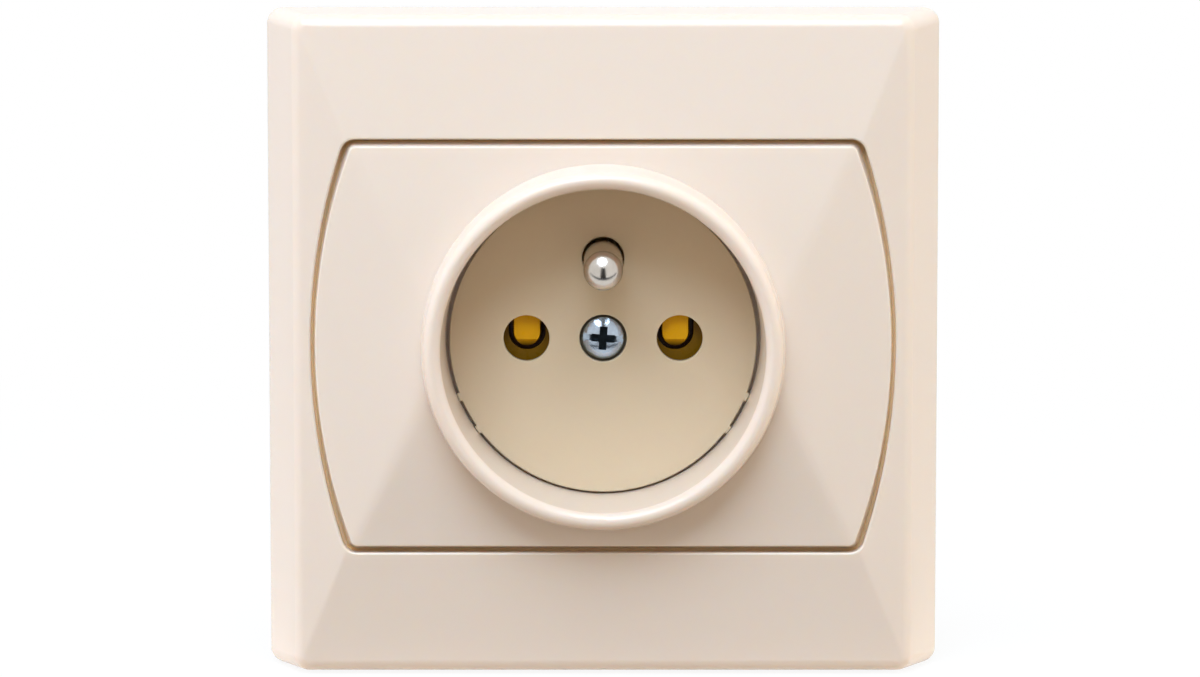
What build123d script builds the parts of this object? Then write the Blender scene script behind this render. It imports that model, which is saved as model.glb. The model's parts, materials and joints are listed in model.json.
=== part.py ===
import os
from math import atan, cos, degrees, radians, sin, tan

from build123d import *

os.makedirs("parts", exist_ok=True)

# Axes: X to the right, Z up, the wall is the plane Y = 0 and the front faces -Y
# A height is measured from the wall towards the viewer, so parts behind the wall have negative heights

# Plug interface
pin_spacing = 19.0
pin_hole_radius = 2.85
earth_rise = 10.0
earth_pin_radius = 2.4
earth_pin_length = 14.8
earth_pin_dome = 1.7
earth_pin_drop = 0.15
earth_pin_foot = 0.2
earth_shank_radius = 2.2
earth_hole_clearance = 0.2
recess_radius = 19.5
recess_depth = 15.2

# Outer frame
frame_half_width = 37.8
frame_half_height = 40.55
front_edge_height = 9.0
side_slope = 0.267
end_slope = 0.11
side_flare = 3.7
end_flare = 0.45
frame_wall = 2.0
frame_corner_radius = 2.0
frame_edge_radius = 1.8
frame_mitre_radius = 2.5
frame_rib_width = 1.2
frame_rib_spread = 22.0
lip_radius = 0.25

# Opening of the frame, straight above and below and bowed at the sides
opening_half_height = 25.5
opening_side_border = 1.9
opening_bow = 4.3
opening_corner_radius = 1.8
opening_wall = 1.6
ledge_drop = 0.7
ledge_thickness = 1.4
ledge_width = 1.8

# Cover plate
plate_gap = 0.25
plate_side_slope = 0.235
plate_wall = 2.0
plate_mitre_radius = 8.0
plate_edge_draft = 14.0
plate_rib_width = 1.2
plate_rib_spread = 12.0

# Collar round the recess and the tube behind it
mouth_draft = 0.35
mouth_drop = 0.8
rim_width = 1.1
rim_round = 1.9
rim_soft = 0.9
shoulder_width = 1.0
shoulder_drop = 1.3
collar_draft = 0.75
collar_root = 0.6
tube_wall = 1.8
tube_ledge_width = 2.0
tube_ledge_thickness = 1.5

# Floor insert
floor_height = 1.5
insert_gap = 0.45
insert_drop = 0.2
insert_thickness = 1.3
insert_boss_depth = 1.1
insert_base_gap = 0.1
insert_key_width = 1.1
insert_key_slack = 0.03
insert_key_angles = (202, 216, 324, 338)

# Centre screw and its bush
screw_head_radius = 2.6
screw_seat_clearance = 0.33
screw_head_rim = 0.7
screw_head_dome = 0.75
screw_seat_depth = 1.15
screw_radius = 1.75
screw_clearance = 0.1
screw_overrun = 1.0
driver_slot_width = 0.75
driver_slot_depth = 0.6
driver_cross_width = 0.95
driver_cross_length = 2.9
driver_depth = 1.2
driver_turn = -4.0
bush_across_flats = 5.0
bush_length = 6.6
bush_clearance = 0.05

# Contact base
base_rim_width = 3.4
base_flat_inset = 2.3
base_flange_thickness = 6.0
base_step = 2.0
base_floor_thickness = 3.0
base_back_radius = 1.0
cup_clearance = 0.3
cup_end_clearance = 0.4
boss_radius = 3.5
platform_clearance = 0.3

# Shutter
shutter_gap = 0.3
shutter_thickness = 2.3
shutter_head_gap = 0.15
shutter_overlap = 0.25
shutter_pin_clearance = 0.2
shutter_bridge_width = 2.1
tongue_width = 3.6
tongue_rise = 1.0
tongue_draft = 12.0
tongue_inset = 0.3
tongue_shift = -0.25
tongue_overlap = 1.2
tongue_ramp_length = 0.9
tongue_groove_width = 0.5
tongue_groove_depth = 1.5
shutter_arm_width = 2.4
shutter_arm_clearance = 0.5
shutter_bar_width = 2.0
shutter_stop_clearance = 0.3
shutter_side_clearance = 0.25

# Shutter springs
spring_inset = 2.5
spring_radius = 1.15
spring_wire_radius = 0.22
spring_wire_sides = 6
spring_turns = 6
spring_end_wall = 2.4
spring_room = 0.3

# Contacts and terminals
contact_thickness = 0.8
contact_half_gap = 2.9
contact_pinch = 2.1
contact_flare = 3.0
contact_half_width = 4.0
contact_setback = 1.6
contact_mouth_length = 2.0
contact_leaf_length = 4.8
contact_root_length = 7.95
contact_clearance = 0.3
rail_rise = 2.0
tab_setback = 3.05
tab_length = 8.0
tab_reach = 3.9
terminal_inset = 0.3
terminal_drop = 17.5
terminal_room = 0.4
terminal_floor_gap = 0.6
terminal_screw_radius = 1.5
terminal_screw_length = 9.0
terminal_screw_clearance = 0.05
terminal_head_radius = 2.6
terminal_head_setback = 0.6
terminal_head_height = 1.6
terminal_slot_width = 0.8
terminal_slot_depth = 0.8
clamp_width = 6.4
clamp_length = 7.2
clamp_thickness = 1.0
clamp_corner_radius = 0.6
clamp_groove_spacing = 4.4
clamp_groove_width = 0.8
clamp_groove_depth = 0.3

# Earth strip
earth_strip_width = 6.0
earth_strip_overlap = 3.4
earth_terminal_reach = 9.5
earth_rivet_radius = 1.5
earth_rivet_head_radius = 2.3
earth_rivet_head_height = 0.8

# Mounting strap
strap_frame_clearance = 0.3
strap_corner_radius = 4.0
strap_thickness = 1.0
strap_opening_clearance = 1.2
box_screw_spacing = 60.0
box_screw_slot_radius = 2.0
box_screw_slot_length = 6.0
rivet_radius = 0.8
rivet_head_radius = 1.15
rivet_head_height = 0.45
rivet_depth = 3.5
rivet_clearance = 0.03
rivet_angle = 52.0

# Spreading claws
claw_pivot_inset = 1.1
claw_pivot_depth = 4.5
claw_pin_radius = 1.0
claw_pin_clearance = 0.05
claw_hub_radius = 2.0
claw_width = 6.4
claw_side_clearance = 0.3
claw_thickness = 1.2
claw_arm_length = 6.4
claw_leg_clearance = 1.0
claw_knee_drop = 4.0
claw_leg_length = 16.0
claw_tip_reach = 1.6
claw_tooth_depth = 1.4
claw_tooth_count = 4
claw_slot_radius = 2.1
claw_slot_length = 5.4
lug_thickness = 1.0
lug_half_width = 1.9
claw_pin_head_radius = 1.5
claw_pin_head_height = 0.5
claw_screw_reach = 4.8
claw_screw_radius = 1.5
claw_screw_length = 13.0
claw_screw_clearance = 0.3
claw_screw_head_radius = 2.8
claw_screw_head_height = 2.0
claw_nut_across_flats = 5.5
claw_nut_thickness = 2.2
claw_nut_gap = 0.1

# Frame and cover plate, worked out from the driving dimensions
frame_reach = 2 * (frame_half_height + frame_half_width)
side_lean = side_flare / front_edge_height
end_lean = end_flare / front_edge_height
frame_side = (frame_half_width, front_edge_height, side_slope, side_lean)
frame_end = (frame_half_height, front_edge_height, end_slope, end_lean)
opening_mid_half = frame_half_width - opening_side_border
opening_corner_half = opening_mid_half - opening_bow
opening_side_height = front_edge_height + side_slope * (frame_half_width - opening_mid_half)
ledge_height = front_edge_height - ledge_drop
ledge_bottom = ledge_height - ledge_thickness
plate_side = (opening_mid_half, opening_side_height, plate_side_slope, 0)
plate_end = (frame_half_height, front_edge_height, end_slope, 0)
plate_ridge_height = front_edge_height + end_slope * frame_half_height
plate_edge_inset = (plate_ridge_height - ledge_height) * tan(radians(plate_edge_draft))

# Collar, recess and insert
rim_height = floor_height + recess_depth
mouth_radius = recess_radius + mouth_draft
mouth_height = rim_height - mouth_drop
rim_radius = mouth_radius + rim_width
collar_shoulder_radius = rim_radius + shoulder_width
collar_shoulder_height = rim_height - shoulder_drop
collar_foot_radius = collar_shoulder_radius + collar_draft
collar_foot_height = front_edge_height + collar_root
tube_radius = recess_radius + tube_wall
tube_ledge_radius = recess_radius - tube_ledge_width
insert_radius = recess_radius - insert_gap
insert_back = floor_height - insert_thickness
tube_end = insert_back - tube_ledge_thickness
cup_floor = tube_end - cup_end_clearance
platform_top = insert_back - insert_base_gap
platform_radius = tube_ledge_radius - platform_clearance
insert_boss_end = insert_back - insert_boss_depth

# Pins and screw
pin_x = pin_spacing / 2
earth_hole_radius = earth_pin_radius + earth_hole_clearance
earth_pin_z = earth_rise - earth_pin_drop
earth_pin_tip = floor_height + earth_pin_length
screw_hole_radius = screw_radius + screw_clearance
screw_seat = floor_height - screw_seat_depth
screw_head_rim_top = screw_seat + screw_head_rim
screw_head_top = screw_head_rim_top + screw_head_dome
boss_top = insert_boss_end - insert_base_gap
bush_end = boss_top - bush_length
screw_end = bush_end - screw_overrun

# Base and shutter
cup_radius = tube_radius + cup_clearance
base_radius = cup_radius + base_rim_width
base_body_radius = base_radius - base_step
base_flat = tube_radius - base_flat_inset
base_flange_end = -base_flange_thickness
tongue_front = platform_top - shutter_head_gap
shutter_front = tongue_front - tongue_rise
shutter_back = shutter_front - shutter_thickness
shutter_middle = (shutter_front + shutter_back) / 2
pocket_floor = shutter_back - shutter_gap
shutter_cover_half = pin_hole_radius + shutter_overlap
shutter_travel = shutter_cover_half + earth_pin_radius + shutter_pin_clearance
tongue_end = -tongue_overlap
tongue_places = (tongue_inset + tongue_shift - pin_x, pin_x - tongue_inset + tongue_shift)
shutter_bridge_top = shutter_cover_half + shutter_bridge_width
shutter_half_width = pin_x + shutter_cover_half
shutter_arm_inner = boss_radius + shutter_arm_clearance
shutter_arm_outer = shutter_arm_inner + shutter_arm_width
shutter_bar_top = -boss_radius - shutter_travel - shutter_stop_clearance
shutter_bar_bottom = shutter_bar_top - shutter_bar_width
pocket_half_width = shutter_half_width + shutter_side_clearance
pocket_leg_half_width = shutter_arm_outer + shutter_side_clearance
pocket_step = -shutter_cover_half - shutter_stop_clearance
pocket_bottom = shutter_bar_bottom - shutter_stop_clearance
pocket_top = shutter_bridge_top + shutter_travel + shutter_stop_clearance
spring_x = pin_x - spring_inset
spring_top = platform_radius - spring_end_wall
spring_channel_width = 2 * (spring_radius + spring_wire_radius + spring_room)

# Contacts and terminals
contact_front = pocket_floor - contact_setback
contact_pinch_height = contact_front - contact_mouth_length
contact_straight_height = contact_pinch_height - contact_leaf_length
contact_back = contact_straight_height - contact_root_length
base_back = contact_back - base_floor_thickness
rail_x = pin_x + contact_half_gap
rail_bottom = contact_back + rail_rise
well_width = 2 * (contact_half_gap + contact_thickness / 2 + contact_clearance)
tab_front = pocket_floor - tab_setback
terminal_x = pin_x - terminal_inset
terminal_z = -terminal_drop
tab_start_z = terminal_z + tab_length / 2
tab_end_z = terminal_z - tab_length / 2
tab_inner_x = pin_x - tab_reach
tab_width = rail_x + contact_thickness / 2 - tab_inner_x
chamber_width = tab_width + 2 * terminal_room
earth_terminal_z = earth_pin_z + earth_terminal_reach
terminal_places = ((-terminal_x, terminal_z), (terminal_x, terminal_z), (0, earth_terminal_z))
terminal_head_front = cup_floor - terminal_head_setback
terminal_screw_end = terminal_head_front - terminal_screw_length
terminal_floor = terminal_screw_end - terminal_floor_gap
clamp_front = terminal_head_front - terminal_head_height
earth_strip_start = earth_pin_z - earth_strip_overlap
earth_strip_end = earth_terminal_z + tab_length / 2
earth_strip_front = tab_front
earth_strip_back = earth_strip_front - contact_thickness
earth_rivet_back = earth_strip_back - earth_rivet_head_height

# Strap and claws
strap_half_width = frame_half_width - frame_wall - strap_frame_clearance
strap_half_height = min(frame_half_width, frame_half_height) - frame_wall - strap_frame_clearance
strap_opening_radius = tube_radius + strap_opening_clearance
box_screw_z = box_screw_spacing / 2
rivet_ring_radius = (strap_opening_radius + base_radius) / 2
rivet_x = rivet_ring_radius * cos(radians(rivet_angle))
rivet_z = rivet_ring_radius * sin(radians(rivet_angle))
rivet_places = ((-rivet_x, -rivet_z), (rivet_x, -rivet_z), (-rivet_x, rivet_z), (rivet_x, rivet_z))
rivet_end = -rivet_depth
claw_pivot_x = strap_opening_radius + claw_pivot_inset
claw_pivot_height = -claw_pivot_depth
claw_arm_end_x = claw_pivot_x + claw_arm_length
claw_leg_x = base_flat + claw_leg_clearance + claw_thickness / 2
claw_knee_height = claw_pivot_height - claw_knee_drop
claw_leg_end = claw_pivot_height - claw_leg_length
claw_tooth_pitch = claw_width / claw_tooth_count
claw_screw_x = claw_pivot_x + claw_screw_reach
claw_screw_end = strap_thickness - claw_screw_length
claw_nut_front = claw_pivot_height - claw_thickness / 2 - claw_nut_gap
lug_inner_z = claw_width / 2 + claw_side_clearance
lug_outer_z = lug_inner_z + lug_thickness

# Section planes, with the height from the wall as their second axis
across = Plane(origin=(0, 0, 0), x_dir=(1, 0, 0), z_dir=(0, 0, -1))
upright = Plane(origin=(0, 0, 0), x_dir=(0, 0, 1), z_dir=(1, 0, 0))
steep = 0.5
upward = (Align.CENTER, Align.MIN)


def front(height):
    """Plane that faces the viewer at a height from the wall."""
    return Plane.XZ.offset(height)


def lowered(edge, inset, drop):
    """The same sloping face drawn in and lowered, for the inside of a wall."""
    half, height, slope, lean = edge
    return (half - inset, height - drop, slope, lean)


def roof_profile(edge, base):
    """Section of a roof: two leaning sides and two slopes that meet at the middle."""
    half, height, slope, lean = edge
    foot = half + lean * (height - base)
    with BuildSketch() as section:
        with BuildLine():
            Polyline(
                (-foot, base),
                (-half, height),
                (0, height + slope * half),
                (half, height),
                (foot, base),
                close=True,
            )
        make_face()
    return section.sketch


def hip_roof(side, end, base):
    """Block under four sloping faces that meet in mitre lines."""
    with BuildPart() as roof:
        with BuildSketch(across):
            add(roof_profile(side, base))
        extrude(amount=frame_reach, both=True)
        with BuildSketch(upright):
            add(roof_profile(end, base))
        extrude(amount=frame_reach, both=True, mode=Mode.INTERSECT)
    return roof.part


def barrel(grow):
    """Outline with a straight top and bottom and bowed sides, grown by a margin."""
    corner_x = opening_corner_half + grow
    middle_x = opening_mid_half + grow
    end_z = opening_half_height + grow
    with BuildSketch() as outline:
        with BuildLine():
            Line((-corner_x, end_z), (corner_x, end_z))
            ThreePointArc((corner_x, end_z), (middle_x, 0), (corner_x, -end_z))
            Line((corner_x, -end_z), (-corner_x, -end_z))
            ThreePointArc((-corner_x, -end_z), (-middle_x, 0), (-corner_x, end_z))
        make_face()
        fillet(outline.vertices(), max(opening_corner_radius + grow, lip_radius))
    return outline.sketch


def dome_arc(tip, radius, rise):
    """Start, direction, radius and turn of an arc from the tip of a dome to its edge."""
    sphere_radius = (radius**2 + rise**2) / (2 * rise)
    turn = 2 * degrees(atan(rise / radius))
    return (0, tip), (1, 0), sphere_radius, -turn


def meets_ridge(edge):
    """True for the ridge and the mitre lines that run up to it."""
    return any(abs(corner.Z) < lip_radius for corner in edge.vertices())


def on_front_slopes(edge):
    """True for edges that lie across the sloping front, clear of the seats below."""
    middle = edge.center()
    return middle.Y < -ledge_height - lip_radius and abs(edge.tangent_at(0.5).Y) < steep


def in_opening(edge):
    """True for edges inside the outline of the frame's opening."""
    middle = edge.center()
    beside = abs(middle.X) < opening_mid_half + lip_radius
    return beside and abs(middle.Z) < opening_half_height + lip_radius


# Outer frame: a hollow square surround with a barrel-shaped opening and a ledge for the cover plate
with BuildPart() as frame_block:
    add(hip_roof(frame_side, frame_end, 0))
    fillet(edges().filter_by(meets_ridge), frame_mitre_radius)
    front_corners = edges().filter_by(lambda edge: abs(edge.center().X) > frame_half_width)
    fillet(front_corners.filter_by(lambda edge: abs(edge.tangent_at(0.5).Y) > steep), frame_corner_radius)
    lower_face = faces().sort_by(Axis.Y)[-1]
    front_rim = faces().filter_by(lambda face: abs(face.normal_at().Y) < steep).edges() - lower_face.edges()
    fillet(front_rim.filter_by(lambda edge: abs(edge.tangent_at(0.5).Y) < steep), frame_edge_radius)

with BuildPart() as frame_hollow:
    inner_side = lowered(frame_side, frame_wall, frame_wall)
    inner_end = lowered(frame_end, frame_wall, frame_wall)
    add(hip_roof(inner_side, inner_end, -frame_wall))
    with BuildSketch(front(ledge_bottom)):
        add(barrel(opening_wall))
        with Locations((-frame_rib_spread, 0), (frame_rib_spread, 0)):
            Rectangle(frame_rib_width, 2 * frame_half_height)
        with Locations((0, -frame_rib_spread / 2), (0, frame_rib_spread / 2)):
            Rectangle(2 * frame_half_width, frame_rib_width)
    extrude(amount=frame_half_height, mode=Mode.SUBTRACT)

with BuildPart() as outer_frame:
    add(frame_block.part)
    add(frame_hollow.part, mode=Mode.SUBTRACT)
    with BuildSketch(front(ledge_height)):
        add(barrel(0))
    extrude(amount=frame_half_height, mode=Mode.SUBTRACT)
    with BuildSketch(front(-frame_wall)):
        add(barrel(-ledge_width))
    extrude(amount=frame_half_height, mode=Mode.SUBTRACT)
    fillet(edges().filter_by(on_front_slopes).filter_by(in_opening), lip_radius)
outer_frame.part.label = "outer_frame"
export_step(outer_frame.part, "parts/outer_frame.step")

# Cover plate: a panel with drafted edges, the collar and the tube of the plug recess
with BuildPart() as plate_wedge:
    with BuildSketch(front(ledge_height)):
        add(barrel(-plate_gap))
    with BuildSketch(front(plate_ridge_height)):
        add(barrel(-plate_gap - plate_edge_inset))
    loft(ruled=True)

with BuildPart() as plate_panel:
    add(hip_roof(plate_side, plate_end, 0))
    fillet(edges().filter_by(meets_ridge), plate_mitre_radius)
    add(plate_wedge.part, mode=Mode.INTERSECT)
    fillet(edges().filter_by(on_front_slopes).filter_by(lambda edge: not meets_ridge(edge)), lip_radius)

with BuildPart() as plate_hollow:
    add(hip_roof(lowered(plate_side, 0, plate_wall), lowered(plate_end, 0, plate_wall), 0))
    with BuildSketch(front(0)):
        add(barrel(-plate_gap - ledge_width))
    extrude(amount=frame_half_height, mode=Mode.INTERSECT)
    with BuildSketch(front(ledge_height)):
        with Locations((-plate_rib_spread, 0), (plate_rib_spread, 0)):
            Rectangle(plate_rib_width, 2 * opening_half_height)
        with Locations((0, -plate_rib_spread), (0, plate_rib_spread)):
            Rectangle(2 * opening_mid_half, plate_rib_width)
    extrude(amount=frame_half_height, mode=Mode.SUBTRACT)

with BuildPart() as cover_plate:
    add(plate_panel.part)
    add(plate_hollow.part, mode=Mode.SUBTRACT)
    with BuildSketch(front(0)):
        Circle((tube_radius + recess_radius) / 2)
    extrude(amount=frame_half_height, mode=Mode.SUBTRACT)
    with BuildSketch(across) as collar_section:
        with BuildLine():
            shoulder = (collar_shoulder_radius, collar_shoulder_height)
            RadiusArc(shoulder, (rim_radius, rim_height), -rim_round)
            Polyline(
                (rim_radius, rim_height),
                (mouth_radius, mouth_height),
                (recess_radius, insert_back),
                (tube_ledge_radius, insert_back),
                (tube_ledge_radius, tube_end),
                (tube_radius, tube_end),
                (tube_radius, collar_foot_height),
                (collar_foot_radius, collar_foot_height),
                shoulder,
            )
        make_face()
        fillet(collar_section.vertices().sort_by(Axis.Y)[-2:], rim_soft)
    revolve(axis=Axis.Y)
cover_plate.part.label = "cover_plate"
export_step(cover_plate.part, "parts/cover_plate.step")

# Floor insert: disc that sits a little low on small keys, with a boss behind the screw
with BuildPart() as socket_insert:
    with BuildSketch(front(insert_back)):
        with Locations((0, -insert_drop)):
            Circle(insert_radius)
            for angle in insert_key_angles:
                key_reach = insert_gap + insert_drop * sin(radians(angle)) - insert_key_slack
                with PolarLocations(insert_radius, 1, start_angle=angle):
                    Rectangle(2 * key_reach, insert_key_width)
    extrude(amount=insert_thickness)
    with BuildSketch(front(insert_boss_end)):
        Circle(boss_radius)
    extrude(amount=insert_boss_depth)
    with BuildSketch(front(insert_boss_end)):
        with Locations((-pin_x, 0), (pin_x, 0)):
            Circle(pin_hole_radius)
        with Locations((0, earth_rise)):
            Circle(earth_hole_radius)
        Circle(screw_hole_radius)
    extrude(amount=floor_height - insert_boss_end, mode=Mode.SUBTRACT)
    with BuildSketch(front(screw_seat)):
        Circle(screw_head_radius + screw_seat_clearance)
    extrude(amount=screw_seat_depth, mode=Mode.SUBTRACT)
socket_insert.part.label = "socket_insert"
export_step(socket_insert.part, "parts/socket_insert.step")

# Centre screw: domed head with a slot and a cross
with BuildPart() as centre_screw:
    with BuildSketch(across):
        with BuildLine():
            Polyline(
                (0, screw_head_top),
                (0, screw_end),
                (screw_radius, screw_end),
                (screw_radius, screw_seat),
                (screw_head_radius, screw_seat),
                (screw_head_radius, screw_head_rim_top),
            )
            JernArc(*dome_arc(screw_head_top, screw_head_radius, screw_head_dome))
        make_face()
    revolve(axis=Axis.Y)
    with BuildSketch(front(screw_head_top - driver_slot_depth)):
        Rectangle(2 * screw_head_radius, driver_slot_width, rotation=driver_turn)
    extrude(amount=driver_slot_depth, mode=Mode.SUBTRACT)
    with BuildSketch(front(screw_head_top - driver_depth)):
        Rectangle(driver_cross_width, driver_cross_length, rotation=driver_turn)
        Rectangle(driver_cross_length, driver_cross_width, rotation=driver_turn)
    extrude(amount=driver_depth, mode=Mode.SUBTRACT)
centre_screw.part.label = "centre_screw"
export_step(centre_screw.part, "parts/centre_screw.step")

# Threaded brass bush in the base that takes the centre screw
with BuildPart() as centre_nut:
    with BuildSketch(front(bush_end)):
        RegularPolygon(bush_across_flats / 2, 6, major_radius=False)
        Circle(screw_radius + bush_clearance, mode=Mode.SUBTRACT)
    extrude(amount=boss_top - bush_end)
centre_nut.part.label = "centre_nut"
export_step(centre_nut.part, "parts/centre_nut.step")

# Earth pin: domed end in front, rivet behind
with BuildPart() as earth_pin:
    with BuildSketch(Plane(origin=(0, 0, earth_pin_z), x_dir=(1, 0, 0), z_dir=(0, 0, -1))):
        with BuildLine():
            Polyline(
                (0, earth_pin_tip),
                (0, earth_rivet_back),
                (earth_rivet_head_radius, earth_rivet_back),
                (earth_rivet_head_radius, earth_strip_back),
                (earth_rivet_radius, earth_strip_back),
                (earth_rivet_radius, earth_strip_front),
                (earth_shank_radius, earth_strip_front),
                (earth_shank_radius, floor_height + earth_pin_foot),
                (earth_pin_radius, floor_height + earth_pin_foot),
                (earth_pin_radius, earth_pin_tip - earth_pin_dome),
            )
            JernArc(*dome_arc(earth_pin_tip, earth_pin_radius, earth_pin_dome))
        make_face()
    revolve(axis=Axis((0, 0, earth_pin_z), (0, 1, 0)))
earth_pin.part.label = "earth_pin"
export_step(earth_pin.part, "parts/earth_pin.step")

def tongue_outline(x, margin):
    """Tongue with a round lower end, from the bridge down over a pin hole."""
    half = tongue_width / 2 + margin
    with BuildSketch() as outline:
        with Locations((x, tongue_end + tongue_width / 2)):
            Circle(half)
            Rectangle(2 * half, shutter_bridge_top - tongue_end - tongue_width / 2, align=upward)
    return outline.sketch


# Shutter: a cover over each pin hole with a raised tongue for the plug pin, on a yoke round the centre boss
with BuildPart() as shutter:
    with BuildSketch(front(shutter_back)):
        for side in (-1, 1):
            with Locations((side * shutter_arm_inner, shutter_bridge_top)):
                outward = (Align.MIN if side > 0 else Align.MAX, Align.MAX)
                cover_length = shutter_bridge_top + shutter_cover_half
                Rectangle(shutter_half_width - shutter_arm_inner, cover_length, align=outward)
                Rectangle(shutter_arm_width, shutter_bridge_top - shutter_bar_bottom, align=outward)
        with Locations((0, shutter_bar_top)):
            Rectangle(2 * shutter_arm_outer, shutter_bar_width, align=(Align.CENTER, Align.MAX))
    extrude(amount=shutter_thickness)
    for x in tongue_places:
        with BuildSketch(front(shutter_front - tongue_groove_depth)):
            add(tongue_outline(x, tongue_groove_width))
            with Locations((x, shutter_cover_half)):
                Rectangle(shutter_half_width, shutter_bridge_width, align=upward, mode=Mode.SUBTRACT)
        extrude(amount=tongue_groove_depth, mode=Mode.SUBTRACT)
        with BuildPart() as tongue:
            with BuildSketch(front(shutter_front)):
                add(tongue_outline(x, 0))
            extrude(amount=tongue_rise, taper=tongue_draft)
            with BuildSketch(front(shutter_front - tongue_groove_depth)):
                add(tongue_outline(x, 0))
            extrude(amount=tongue_groove_depth)
            with BuildSketch(upright.offset(x)):
                with BuildLine():
                    Polyline(
                        (tongue_end, shutter_front),
                        (tongue_end + tongue_ramp_length, tongue_front),
                        (tongue_end, tongue_front),
                        close=True,
                    )
                make_face()
            extrude(amount=tongue_width, both=True, mode=Mode.SUBTRACT)
        add(tongue.part)
shutter.part.label = "shutter"
export_step(shutter.part, "parts/shutter.step")


def shutter_spring(x):
    """Coil spring between the shutter's bridge and the top of its channel."""
    coil_height = spring_top - shutter_bridge_top - 2 * spring_wire_radius
    coil_foot = (x, -shutter_middle, shutter_bridge_top + spring_wire_radius)
    with BuildPart() as spring:
        with BuildLine() as path:
            Helix(coil_height / spring_turns, coil_height, spring_radius, center=coil_foot)
        with BuildSketch(Plane(origin=path.line @ 0, z_dir=path.line % 0)):
            RegularPolygon(spring_wire_radius, spring_wire_sides)
        sweep(is_frenet=True)
    return spring.part


for spring_name, x in (("shutter_spring_left", -spring_x), ("shutter_spring_right", spring_x)):
    with BuildPart() as spring:
        add(shutter_spring(x))
    spring.part.label = spring_name
    export_step(spring.part, f"parts/{spring_name}.step")


def flatted_disc(radius):
    """Round outline with a flat on each side for the claws."""
    with BuildSketch() as outline:
        Circle(radius)
        Rectangle(2 * base_flat, 2 * radius, mode=Mode.INTERSECT)
    return outline.sketch


# Contact base: insulating body with the shutter pocket, contact wells and terminal chambers
with BuildPart() as contact_base:
    with BuildSketch(front(base_back)):
        add(flatted_disc(base_body_radius))
    extrude(amount=base_flange_end - base_back)
    fillet(faces().sort_by(Axis.Y)[-1].edges(), base_back_radius)
    with BuildSketch(front(base_flange_end)):
        add(flatted_disc(base_radius))
    extrude(amount=-base_flange_end)
    with BuildSketch(front(cup_floor)):
        Circle(cup_radius)
    extrude(amount=-cup_floor, mode=Mode.SUBTRACT)
    with BuildSketch(front(cup_floor)):
        Circle(platform_radius)
    extrude(amount=platform_top - cup_floor)
    with BuildSketch(front(boss_top)):
        Circle(boss_radius)
    extrude(amount=platform_top - boss_top, mode=Mode.SUBTRACT)
    with BuildSketch(front(pocket_floor)):
        with Locations((0, pocket_step)):
            Rectangle(2 * pocket_half_width, pocket_top - pocket_step, align=upward)
        with Locations((0, pocket_bottom)):
            Rectangle(2 * pocket_leg_half_width, pocket_step - pocket_bottom, align=upward)
        with Locations((-spring_x, pocket_top), (spring_x, pocket_top)):
            Rectangle(spring_channel_width, spring_top - pocket_top, align=upward)
        Circle(boss_radius, mode=Mode.SUBTRACT)
    extrude(amount=platform_top - pocket_floor, mode=Mode.SUBTRACT)
    with BuildSketch(front(contact_back)):
        with Locations((-pin_x, 0), (pin_x, 0)):
            Rectangle(well_width, 2 * (contact_half_width + contact_clearance))
    extrude(amount=pocket_floor - contact_back, mode=Mode.SUBTRACT)
    with BuildSketch(front(rail_bottom - contact_clearance)):
        with Locations((-rail_x, 0), (rail_x, 0)):
            Rectangle(contact_thickness + contact_clearance, base_radius, align=(Align.CENTER, Align.MAX))
    extrude(amount=platform_top - rail_bottom + contact_clearance, mode=Mode.SUBTRACT)
    with BuildSketch(front(terminal_floor)):
        for side in (-1, 1):
            with Locations((side * (tab_inner_x - terminal_room), tab_start_z + terminal_room)):
                chamber_align = (Align.MIN if side > 0 else Align.MAX, Align.MAX)
                Rectangle(chamber_width, base_radius, align=chamber_align)
    extrude(amount=platform_top - terminal_floor, mode=Mode.SUBTRACT)
    with BuildSketch(front(earth_strip_back)):
        with Locations((0, earth_strip_start - terminal_room)):
            Rectangle(earth_strip_width + contact_clearance, base_radius, align=upward)
    extrude(amount=platform_top - earth_strip_back, mode=Mode.SUBTRACT)
    with BuildSketch(front(terminal_floor)):
        with Locations((0, earth_pin_z)):
            Circle(earth_rivet_head_radius + terminal_room)
        with Locations((0, earth_terminal_z)):
            Circle(terminal_screw_radius + terminal_room)
    extrude(amount=earth_strip_back - terminal_floor, mode=Mode.SUBTRACT)
    with BuildSketch(front(bush_end)):
        RegularPolygon(bush_across_flats / 2 + bush_clearance, 6, major_radius=False)
    extrude(amount=boss_top - bush_end, mode=Mode.SUBTRACT)
    with BuildSketch(front(screw_end - screw_clearance)):
        Circle(screw_hole_radius)
    extrude(amount=bush_end - screw_end + screw_clearance, mode=Mode.SUBTRACT)
    with BuildSketch(front(rivet_end)):
        with Locations(*rivet_places):
            Circle(rivet_radius + rivet_clearance)
    extrude(amount=-rivet_end, mode=Mode.SUBTRACT)
contact_base.part.label = "contact_base"
export_step(contact_base.part, "parts/contact_base.step")


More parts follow.
